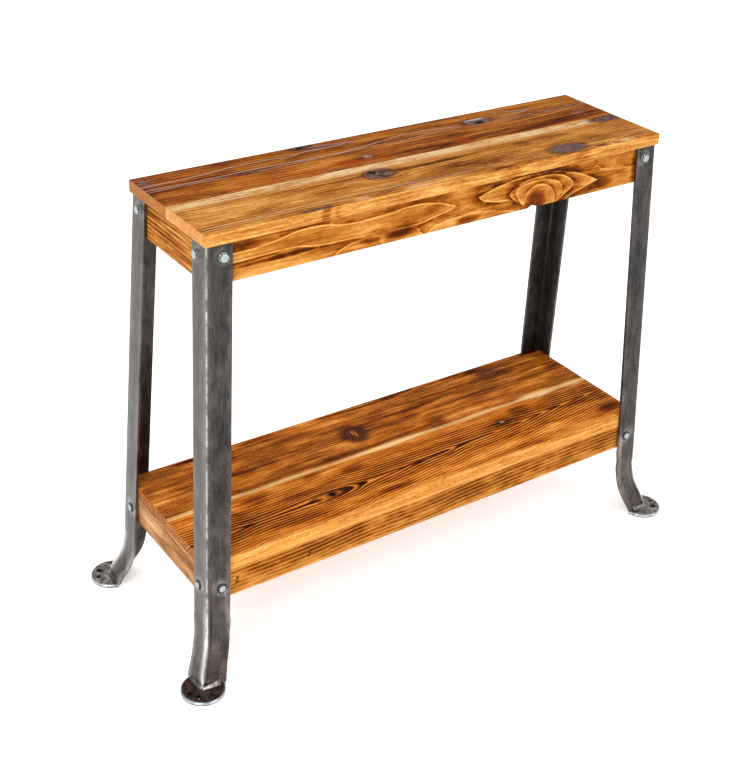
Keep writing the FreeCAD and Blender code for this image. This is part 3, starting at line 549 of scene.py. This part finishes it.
def shelf_front():
    p = Plank("plank_shelf_front", "xyz", 254.0, 27.0, wave=3.0, jit=0.5)
    t = p.t
    t.k = 0.93
    p.push(-217, -93, 50, 11, k=0.85)
    p.push(250, -56, 34, 12, k=0.35)
    u = p.u
    tip = t.curve(u, -531, 531, [(-531, 0.2), (-430, 0.7), (-400, 1.3), (-300, 1.4), (-240, 1.5), (-190, 2.1), (-170, 2.4), (-138, 3.4), (-60, 4.0), (20, 5.0), (70, 5.2),
                                 (110, 6.0), (200, 6.4), (330, 8.2), (400, 9.4), (531, 11.0)], 0.0, 12.0)
    axis = t.curve(u, -531, 531, [(-531, -100), (-400, -98), (-217, -93), (-140, -92), (0, -86), (120, -80), (300, -72), (420, -64), (531, -58)], -110.0, -50.0)
    dv = p.v - axis + p.wob * 0.3
    h = (dv * dv + 6.0).sqrt() / 7.2 + tip + 0.12
    f = h.fract()
    late = f.pow(1.7) * f.step(1.0, 0.86)
    core = (-(dv * dv) / 1500.0).exp()
    fib = p.fibre()
    bl = smooth_noise(t, p.u, p.v0, p.w, 70.0, 26.0, 83.0, 4.0, 0.62) * 0.6 + smooth_noise(t, p.u, p.v0, p.w, 170.0, 8.0, 84.0, 4.0, 0.6) * 0.7
    amp = (smooth_noise(t, p.u, p.v0, p.w, 90.0, 18.0, 85.0, 3.0) * 1.2 + 0.36 + core * 0.85).clamp()
    hair = smooth_noise(t, p.u, p.v, p.w, 320.0, 1.6, 86.0, 3.0, 0.6).step(0.05, 0.5)
    tone = late * 0.98 * amp + fib * 0.24 + bl * 0.42 + 0.15 + hair * 0.30 + core * late * 0.30 + 0.03
    tone = tone + p.blobs([(-6, -87, 30, 4.5, 0.6), (112, -82, 20, 3.5, 0.6), (196, -78, 14, 3, 0.4), (-142, -91, 12, 7, 0.36), (-185, -92, 9, 7, 0.30), (-404, -98, 14, 5, 0.34),
                           (-360, -36, 40, 18, 0.26), (-220, -20, 22, 10, 0.18), (-130, -40, 32, 14, 0.28), (310, -36, 30, 22, 0.32), (250, -56, 50, 9, 0.24),
                           (440, -74, 50, 6, 0.34), (380, -66, 30, 5, 0.3), (-90, -138, 44, 8, 0.28), (490, -128, 34, 16, 0.44), (506, -60, 20, 40, 0.14),
                           (40, -30, 80, 12, 0.10), (160, -136, 90, 14, -0.14), (20, -140, 120, 10, -0.06), (-330, -134, 120, 16, 0.14), (-60, -66, 90, 12, 0.10), (-260, -64, 50, 10, 0.12), (330, -128, 60, 14, -0.14), (-300, -130, 90, 14, 0.06), (-420, -60, 30, 24, 0.16), (80, -60, 60, 10, 0.14)])
    col = t.ramp(tone.clamp(), EMBER)
    eye = p.dist(-217, -93, 46, 9, p.Q)
    col = t.mix(((eye - 1.0) * (eye - 1.0) * -26.0).exp() * 0.8, col, (54, 24, 12))
    col = t.mix(eye.step(0.8, 0.3) * 0.5, col, (168, 88, 34))
    col = t.mix(p.dist(-217, -93, 14.0, 9.0, p.Q).step(1.25, 0.6) * 0.8, col, (66, 38, 28))
    hole = p.dist(-217, -93, 7.0, 6.5, p.Q).step(1.15, 0.8)
    col = t.mix(hole * 0.97, col, (16, 10, 9))
    col = t.mix(p.dist(246, -56, 26, 13).step(1.3, 0.3) * 0.85, col, (62, 32, 22))
    col = t.mix(p.dist(278, -58, 24, 6).step(1.3, 0.3) * 0.6, col, (62, 32, 22))
    col = t.mix(p.dist(247, -54, 6.0, 4.5, p.Q).step(1.2, 0.6) * 0.8, col, (196, 146, 84))
    sap = (p.v0 + bl * 4.0 + fib * 3.0).step(-10.5, -5.5)
    right = p.blobs([(396, -5, 54, 10, 0.95), (490, -8, 40, 10, 0.35), (-20, -5, 110, 6.5, 0.45), (200, -8, 60, 6, 0.2), (-480, -6, 50, 6, 0.3), (-300, -5, 80, 5, 0.2)])
    col = t.mix((sap * 0.60 + right).clamp() * 0.94, col, t.ramp((fib * 0.6 + 0.34 - right * 0.2).clamp(), [(0.0, (255, 226, 172)), (0.4, (232, 182, 108)), (0.75, (206, 142, 66)), (1.0, (156, 90, 28))]))
    front = (p.v0 + bl * 4.0).step(-155.0, -163.5)
    col = t.mix(front * 0.7, col, t.ramp((fib * 0.4 + late * 0.2 + 0.25).clamp(), HONEY))
    edge = t.ramp((fib * 0.40 + bl * 0.4 + 0.36).clamp(), HONEY)
    col = t.mix(p.v0.step(-163.9, -164.9) * 0.95, col, edge)
    col = t.mix(p.u.abs().step(530.4, 531.2) * 0.85, col, t.ramp((late * 0.45 + fib * 0.7 + p.n2 * 0.35 + 0.34).clamp(), [(0.0, (206, 138, 82)), (0.5, (156, 90, 42)), (1.0, (84, 40, 16))]))
    return wood_finish(p, col, late, fib, hole * -5.0, rough=0.40, spec=0.018)


def fascia_front():
    p = Plank("plank_fascia_front", "xzy", -165.2, 33.0, slant=0.0, wave=2.4, jit=0.35)
    t = p.t
    rise = t.curve(p.u, -531, 531, [(-531, -13), (-400, -12), (-330, -11), (-240, -5), (-160, 0), (-40, 0), (60, 7), (180, 12), (330, 15), (531, 17)], -16.0, 20.0)
    h = (p.v0 - 254.0 - rise + p.wob * 0.7) / 9.0
    f = h.fract()
    late = (f * -1.0 + 1.0).max(0.0).pow(0.85) * f.step(0.0, 0.16)
    g = (h * 2.0 + 0.3).fract()
    late = late + (g * g * 0.16 - 0.05)
    fib = p.fibre()
    bl = smooth_noise(t, p.u, p.v0, p.w, 60.0, 26.0, 91.0, 3.0, 0.6)
    low = (p.v0 + bl * 2.0).step(229.0, 221.0)
    spots = p.blobs([(-320, 206, 60, 22, 0.5), (-220, 204, 50, 22, 0.5), (50, 204, 60, 22, 0.6), (100, 226, 60, 8, 0.3), (205, 224, 44, 14, 0.6), (180, 196, 60, 14, 0.4),
                     (-20, 206, 34, 14, 0.4), (-120, 206, 40, 12, 0.25), (400, 206, 120, 22, 0.4), (-410, 208, 44, 18, 0.3), (330, 228, 60, 8, 0.3), (110, 196, 70, 10, 0.3)])
    amp = (bl * 0.9 + 0.50 + spots * 0.8).clamp() * low
    top_edge = p.v0.step(230.0, 233.0)
    tone = late * 0.80 * amp + fib * 0.18 + bl * 0.20 + 0.275 + spots * 0.12 * low + low * 0.04 - (1.0 - top_edge) * (1.0 - low) * 0.10 + top_edge * 0.02
    tone = tone + p.u.step(486.0, 512.0) * 0.5 + p.u.step(-486.0, -520.0) * 0.3 - p.v0.step(176.0, 170.0) * 0.1
    col = t.ramp(tone.clamp(), HONEY)
    pits = None
    for (u0, v0, r) in ((-469.8, 203.5, 2.4), (-469.5, 196.0, 2.8), (-312.5, 199.0, 3.2), (-315.5, 190.0, 2.4)):
        d = p.dist(u0, v0, r, r * 1.1, p.Q)
        col = t.mix(d.step(2.2, 0.8) * 0.45, col, (110, 58, 18))
        d = d.step(1.15, 0.6)
        pits = d if pits is None else pits.max(d)
    col = t.mix(pits * 0.9, col, (50, 24, 8))
    return wood_finish(p, col, late, fib, pits * -3.0)


def end_panel(name, w_face, seed, shelf=False):
    side = 1.0 if w_face > 0 else -1.0

    def extra(p):
        if shelf:
            return p.blobs([(-60, 210, 60, 12, 0.1), (70, 200, 60, 24, -0.28), (30, 190, 90, 10, 0.1), (-120, 200, 30, 20, 0.12)]) + p.u.step(112.0, 150.0) * 0.34
        return p.blobs([(-60, 812, 60, 7, 0.28), (30, 830, 60, 10, 0.08), (80, 846, 60, 6, 0.14), (-20, 850, 60, 8, -0.1)])

    if shelf:
        return plain_wood(name, "yzx", w_face, seed, [(0.0, (234, 186, 136)), (0.3, (200, 144, 94)), (0.6, (150, 96, 50)), (1.0, (84, 46, 20))],
                          spacing=7.5, line=0.62, base=0.28, dark=0.46, slant=0.0, su=90.0, sv=18.0, extra=extra, wave=2.5)
    return plain_wood(name, "yzx", w_face, seed, AMBER, spacing=8.5, line=0.50, base=0.42, dark=0.7, slant=0.0, su=100.0, sv=9.0, extra=extra, wave=3.0)


# ------------------------------------------------------------------ metals


def raw_steel():
    """Hot-rolled angle, ground bright round the holes, ground and given a painted highlight along the heel, and
    heat-tinted at the foot with painted dark reflection and shade on the pad.
    """
    t = Tree("raw_angle_steel")
    x, y, z = t.x, t.y, t.z
    drop = z.max(128.0) * -1.0 + 865.5
    ax = x.abs() - 504.0 - drop * 0.0531
    ay = y.abs() - 136.4 - drop * 0.0553
    out = t.curve(z, 0.0, 140.0, [(0, 41.8), (3.5, 41.2), (19, 37.4), (30, 33.2), (41, 27.6), (54, 20.6), (69.5, 12.6), (87, 6.2), (106, 2.2), (128, 0), (140, 0)], -2.0, 56.0)
    cot = t.curve(z, 0.0, 140.0, [(0, 0.87), (19, 0.90), (30, 0.955), (41, 1.03), (54, 1.08), (69.5, 1.07), (87, 1.03), (106, 1.01), (128, 1.0), (140, 1.0)], 0.4, 1.2)
    s = (ax - ay) * 0.70711                      # across the heel line, straight leg and foot alike
    depth = (ax + ay) * -0.70711 + out           # how far behind the heel line
    within = depth - s.abs() * cot                # how far behind the outer faces
    side = (ax + 1.6).step(-1.0, 1.0) * s.step(-2.0, 2.0)   # faces towards the ends
    low = z.step(66.0, 20.0)
    n_big = t.noise(x / 60.0, y / 60.0, z / 85.0, detail=3, rough=0.6, off=2.0, signed=True)
    n_mid = t.noise(x / 12.0, y / 12.0, z / 40.0, detail=3, rough=0.65, off=9.0, signed=True)
    n_fine = t.noise(x / 2.4, y / 2.4, z / 16.0, detail=3, rough=0.6, off=19.0, signed=True)
    n_dot = t.noise(x / 3.0, y / 3.0, z / 3.0, detail=3, rough=0.7, off=23.0, signed=True)
    # distance from the heel across either outer face
    reach = (s.abs() * 1.41421 + n_mid * 2.0)
    shoulder = (reach * -0.09).exp()
    free_edge = reach.step(40.0, 48.0)
    chatter = ((z + n_mid * 1.2) * 1.62).sin().step(-0.2, 1.0) * reach.step(33.0, 44.0) * n_big.step(-0.35, 0.15)
    # side * 0.12 paints the end-facing faces lighter: painted light on the lit side of the angle
    tone = n_big * 0.20 + n_mid * 0.24 + n_fine * 0.16 + shoulder * 0.20 + side * 0.12 + free_edge * 0.08 + chatter * 0.18 + 0.08
    # ground halos round the bolts, and the painted shadow ring round each bolt head
    halo, bolt_shadow_ring = None, None
    for zc, r0, zr in ((843.0, 30.8, 15.0), (199.0, 30.8, 20.0)):
        a = (s.abs() * 1.41421 - r0)
        b = z - zc + a * 0.35
        d = (a * a + b * b).sqrt()
        h = (d + n_mid * 7.0).step(zr + 6.0, zr * 0.5)
        halo = h if halo is None else halo.max(h)
        e = (a * a + (z - zc) * (z - zc)).sqrt() + n_dot * 1.6
        g = e.step(12.4, 9.4)
        bolt_shadow_ring = g if bolt_shadow_ring is None else bolt_shadow_ring.max(g)
    tone = tone + halo * (n_fine * 0.5 + n_mid * 0.3 + 0.30)
    tone = tone + (1.0 - side) * z.step(290.0, 120.0) * 0.09 + side * reach.step(36.0, 46.0) * z.step(120.0, 70.0) * 0.26
    # heel: a bright, broken line of ground metal with a painted highlight, a softer painted highlight band on the end
    # side and a painted shade line behind it
    above = z.step(6.6, 9.0)
    broken = t.noise(x / 30.0, y / 30.0, z / 24.0, detail=3, rough=0.62, off=51.0)
    heel_w = z.step(150.0, 60.0, 2.0, 3.0)
    heel_highlight = (-((s / heel_w) * (s / heel_w))).exp() * within.step(6.0, 3.0) * above
    heel_highlight = heel_highlight * (broken.step(0.36, 0.60) * 0.75 + 0.25 + z.step(190.0, 90.0) * 0.4).min(1.0)
    e1, e2 = (s - 5.0) / 5.0, (s + 6.2) / 2.2
    low_leg = z.step(230.0, 110.0) * above
    # painted highlight band beside the heel and painted shade line behind it
    heel_light_and_shade_band = (-(e1 * e1)).exp() * (low_leg * 0.34 + 0.05) - (-(e2 * e2)).exp() * low_leg * 0.16
    tone = tone + heel_highlight * (z.step(200.0, 90.0) * 0.10 + 0.44) + heel_light_and_shade_band
    col = t.ramp(tone.clamp(), [(0.0, (36, 34, 33)), (0.22, (74, 69, 66)), (0.45, (112, 106, 102)), (0.7, (156, 152, 150)), (1.0, (222, 222, 228))])
    # rusty warmth on the faces towards the front and near the foot
    warm = (1.0 - side) * (n_big * 0.5 + 0.55).clamp() * (z.step(330.0, 60.0) * 0.5 + 0.35)
    col = t.mix(warm.clamp() * 0.5, col, t.ramp((tone * 1.1 - 0.05).clamp(), [(0.0, (42, 36, 31)), (0.3, (88, 77, 68)), (0.6, (136, 122, 110)), (1.0, (214, 196, 182))]))
    patch = z.step(260.0, 160.0) * z.step(40.0, 60.0) * reach.step(34.0, 46.0) * s.step(0.0, -4.0) * n_big.step(-0.1, 0.3)
    col = t.mix(patch * 0.5, col, (168, 152, 142))
    # painted shadow round each bolt head
    col = t.mix(bolt_shadow_ring * 0.72, col, (30, 26, 24))
    # inside of the angle is painted near-black: painted shade
    inner_shade = (ax + 5.4).step(0.6, -0.6) * (ay + 5.4).step(0.6, -0.6) * z.step(80.0, 120.0)
    inner_shade = inner_shade.max(within.step(5.6, 7.4) * z.step(124.0, 112.0) * z.step(5.0, 12.0))
    col = t.mix(inner_shade * 0.80, col, t.ramp((n_mid * 0.5 + 0.4).clamp(), [(0.0, (26, 20, 18)), (0.5, (50, 42, 38)), (1.0, (84, 76, 72))]))
    # brown pad, heat tint with painted dark reflection and shade, a painted highlight on its rim, and the ground weld
    # facets along the angle, painted brighter on the lit side
    px, py = x.abs() - 566.6, y.abs() - 200.7
    rad = (px * px + py * py).sqrt()
    near = (x * -0.01).step(-0.1, 0.1) * (y * -0.01).step(-0.1, 0.1)
    brown = t.ramp((n_dot * 0.8 + n_mid * 0.6 + 0.42).clamp(), [(0.0, (20, 13, 10)), (0.42, (54, 38, 28)), (0.7, (98, 70, 48)), (0.88, (140, 112, 90)), (1.0, (190, 176, 160))])
    grey = t.ramp((n_dot * 0.8 + n_mid * 0.9 + 0.46).clamp(), [(0.0, (34, 26, 22)), (0.3, (84, 72, 64)), (0.5, (128, 122, 116)), (0.75, (158, 154, 150)), (1.0, (206, 204, 202))])
    # dark brown low on the foot: heat tint together with painted shade and dark reflection
    heat_tint_and_shade = z.step(70.0, 14.0) * (n_mid * 0.8 + n_big * 0.6 + 0.45).clamp() * (1.0 - heel_highlight).max(0.0)
    col = t.mix(heat_tint_and_shade * (near * 0.35 + 0.25), col, brown)
    # pad top, dark brown on the near leg: heat tint with painted dark reflection and shade
    pad = z.step(7.9, 7.1) * within.step(0.8, -0.4)
    pad_tint_and_shade = t.mix(near * 0.85, grey, brown)
    col = t.mix(pad * 0.95, col, pad_tint_and_shade)
    # bolt hole and pin hole painted near-black: painted shade in the holes
    holes = ((x.abs() - 585.94) * (x.abs() - 585.94) + (y.abs() - 219.96) * (y.abs() - 219.96)).sqrt() + n_mid * 1.0
    pin = ((x.abs() - 595.84) * (x.abs() - 595.84) + (y.abs() - 201.58) * (y.abs() - 201.58)).sqrt() + n_mid * 1.0
    holes = holes.step(7.6, 5.4).max(pin.step(5.6, 3.8)) * z.step(8.5, 7.6)
    col = t.mix(holes * 0.92, col, (14, 11, 10))
    # weld facets, lightened by lit: painted highlight on the lit side
    facet = z.step(7.3, 8.3) * z.step(24.0, 21.0) * (within + n_mid * 0.8).step(-0.2, -1.6) * (s.abs() + n_mid * 3.0).step(31.5, 27.5)
    lit = (s.step(2.0, -2.0) * 0.6 + 0.36) * (y.step(10.0, -10.0) * 0.55 + 0.42)
    col = t.mix(facet * lit, col, t.ramp((n_fine * 0.9 + n_mid * 1.0 + (s.abs() - 14.0) * 0.018 + 0.42 + s.step(-2.0, 2.0) * 0.2).clamp(), [(0.0, (222, 217, 206)), (0.5, (166, 155, 142)), (1.0, (92, 80, 70))]))
    pitted = (n_dot + n_mid * 0.6).step(0.22, 0.42) * z.step(9.0, 6.5)
    col = t.mix(pitted * 0.6, col, (22, 17, 15))
    # rim: a painted highlight along the rounded rim, dark below, bright in the middle, bluish above
    rim = (rad + n_mid * 0.6).step(38.4, 39.8) * z.step(8.5, 7.2)
    col = t.mix(rim * (n_mid * 0.8 + 0.75).clamp(), col, t.ramp(z / 7.0, [(0.0, (92, 84, 82)), (0.3, (150, 142, 140)), (0.55, (214, 216, 220)), (0.85, (196, 204, 210)), (1.0, (120, 134, 142))]))
    rough = (n_mid * 0.10 + n_fine * 0.06 + 0.34 - heel_highlight * 0.10 - heat_tint_and_shade * 0.10 - rim * 0.1).clamp()
    t.bump(n_fine * 0.5 + n_mid * 0.9 + chatter * 0.5 + n_dot * 0.3 - bolt_shadow_ring * 1.2, 0.0004)
    return t.finish(col, rough, metallic=0.78, spec=0.4)


def zinc():
    t = Tree("bright_zinc")
    n = t.noise(t.x / 2.2, t.y / 2.2, t.z / 2.2, detail=3, rough=0.6, off=4.0)
    col = t.ramp(n, [(0.3, (104, 112, 112)), (0.5, (158, 166, 166)), (0.72, (206, 214, 214))])
    t.bump(n, 0.0002)
    return t.finish(col, (n * 0.25 + 0.2).clamp(), metallic=0.9, spec=0.5)


def screw_steel():
    t = Tree("yellow_zinc_screws")
    n = t.noise(t.x / 2.0, t.y / 2.0, t.z / 2.0, detail=3, off=8.0)
    col = t.ramp(n, [(0.3, (150, 124, 66)), (0.6, (196, 170, 100)), (0.8, (214, 196, 140))])
    return t.finish(col, (n * 0.2 + 0.25).clamp(), metallic=0.9)


# ------------------------------------------------------------------ put the materials on
MATS = {}


def mat(key, make):
    if key not in MATS:
        MATS[key] = make()
    return MATS[key]


def dress(node, material):
    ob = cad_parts[node]
    if not ob.material_slots:
        ob.data.materials.append(material)
    for s in ob.material_slots:
        s.material = material


dress("tabletop_front_plank", top_front())
dress("tabletop_back_plank", top_back())
dress("apron_front", apron_front())
dress("shelf_front_plank", shelf_front())
dress("shelf_back_plank", shelf_back())
dress("shelf_fascia_front", fascia_front())
dress("apron_left", end_panel("plank_apron_left", -499.0, 44.0))
dress("apron_right", end_panel("plank_apron_right", 499.0, 52.0))
dress("apron_back", plain_wood("plank_apron_back", "xzy", 131.4, 57.0, HONEY, spacing=9.5, line=0.4, base=0.30, dark=0.45, slant=0.0, sharp=1.6,
                               field=lambda p: bell(p.t, p.u, p.v, -120.0, 826.0, 120.0, 26.0) * 3.2 + bell(p.t, p.u, p.v, 260.0, 834.0, 90.0, 20.0) * 2.2))
dress("shelf_fascia_left", end_panel("plank_fascia_left", -531.5, 63.0, shelf=True))
dress("shelf_fascia_right", end_panel("plank_fascia_right", 531.5, 69.0, shelf=True))
dress("shelf_fascia_back", plain_wood("plank_fascia_back", "xzy", 165.2, 75.0, HONEY, spacing=6.0, line=0.42, base=0.24, dark=0.34, slant=0.0, sharp=1.3, wave=1.6))
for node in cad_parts:
    if "cleat_screws" in node or "block_screws" in node:
        dress(node, mat("screw", screw_steel))
    elif "cleat" in node:
        dress(node, mat("cleat", lambda: plain_wood("sawn_cleat", "yxz", 231.0, 81.0, RAW, spacing=6.0, line=0.3, base=0.34, dark=0.3, rough=0.72)))
    elif "block" in node:
        dress(node, mat("block", lambda: plain_wood("sawn_block", "zxy", 100.0, 87.0, RAW, spacing=6.0, line=0.3, base=0.34, dark=0.3, rough=0.72)))
    elif "biscuits" in node:
        dress(node, mat("biscuit", lambda: plain_wood("beech_biscuit", "xyz", 880.0, 93.0, RAW, spacing=3.0, line=0.15, base=0.3, dark=0.2, rough=0.7)))
    elif node.startswith("leg_") and "lag" not in node:
        dress(node, mat("steel", raw_steel))
    elif "lag_screws" in node:
        dress(node, mat("zinc", zinc))

# ------------------------------------------------------------------ floor, light, camera


def floor():
    me = bpy.data.meshes.new("studio_floor")
    r = 30.0
    me.from_pydata([(-r, -r, 0), (r, -r, 0), (r, r, 0), (-r, r, 0)], [], [(0, 1, 2, 3)])
    ob = bpy.data.objects.new("studio_floor", me)
    bpy.context.scene.collection.objects.link(ob)
    m = bpy.data.materials.new("studio_white")
    m.use_nodes = True
    b = m.node_tree.nodes["Principled BSDF"]
    b.inputs["Base Color"].default_value = (0.96, 0.96, 0.96, 1)
    b.inputs["Roughness"].default_value = 0.9
    b.inputs["Emission Color"].default_value = (1, 1, 1, 1)
    b.inputs["Emission Strength"].default_value = 0.42
    b.inputs["Specular IOR Level"].default_value = 0.1
    me.materials.append(m)
    ob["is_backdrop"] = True


floor()


def studio():
    """White overhead light that falls away to pale grey at the horizon."""
    world = bpy.data.worlds.new("studio")
    bpy.context.scene.world = world
    world.use_nodes = True
    nt = world.node_tree
    co = nt.nodes.new("ShaderNodeTexCoord")
    sep = nt.nodes.new("ShaderNodeSeparateXYZ")
    ramp = nt.nodes.new("ShaderNodeMapRange")
    ramp.interpolation_type = "SMOOTHSTEP"
    ramp.inputs[1].default_value, ramp.inputs[2].default_value = 0.05, 0.85
    ramp.inputs[3].default_value, ramp.inputs[4].default_value = HORIZON, ZENITH
    bg = nt.nodes["Background"]
    bg.inputs[0].default_value = (1.0, 1.0, 1.0, 1.0)
    nt.links.new(co.outputs["Generated"], sep.inputs[0])
    nt.links.new(sep.outputs[2], ramp.inputs[0])
    nt.links.new(ramp.outputs[0], bg.inputs[1])


HORIZON, ZENITH = 0.26, 1.25
studio()


def area(name, loc, target, size, power, color=(1, 1, 1)):
    li = bpy.data.lights.new(name, "AREA")
    li.shape = "RECTANGLE"
    li.size, li.size_y = size
    li.energy = power
    li.color = color
    ob = bpy.data.objects.new(name, li)
    ob.location = loc
    ob.rotation_mode = "QUATERNION"
    ob.rotation_quaternion = (Vector(target) - Vector(loc)).to_track_quat("-Z", "Y")
    bpy.context.scene.collection.objects.link(ob)


area("key", (-2.6, -1.6, 2.2), (0, 0, 0.5), (1.8, 1.6), 56)
area("fill", (1.6, -3.2, 2.4), (0, 0, 0.5), (2.0, 1.6), 40)

cam_data = bpy.data.cameras.new("camera")
cam = bpy.data.objects.new("camera", cam_data)
bpy.context.scene.collection.objects.link(cam)
# camera: place, rotation vector of the view and focal length

PLACE = Vector((-1.385090 * 1.016, -1.833373 * 1.016, 0.846554 * 1.016 + 0.8877))
rv = Vector((2.0257, -0.5969, 0.395))
R = Matrix.Rotation(rv.length, 3, rv.normalized())
right, up, back = R[0], -R[1], -R[2]
m = Matrix((right, up, back)).transposed().to_4x4()
m.translation = PLACE
cam.matrix_world = m
cam_data.sensor_width = 36.0
cam_data.lens = 1317.8 * 36.0 / 766.0
cam_data.shift_x = (755 / 2 - 360.49) / 766.0
cam_data.shift_y = (370.42 - 766 / 2) / 766.0
cam_data.clip_start, cam_data.clip_end = 0.05, 60.0
bpy.context.scene.camera = cam
bpy.context.scene.view_settings.view_transform = "Standard"
bpy.context.scene.view_settings.look = "None"

vis_lo, vis_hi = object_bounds()
{"cad": [list(cad_lo), list(cad_hi)], "visual": [list(vis_lo), list(vis_hi)]}
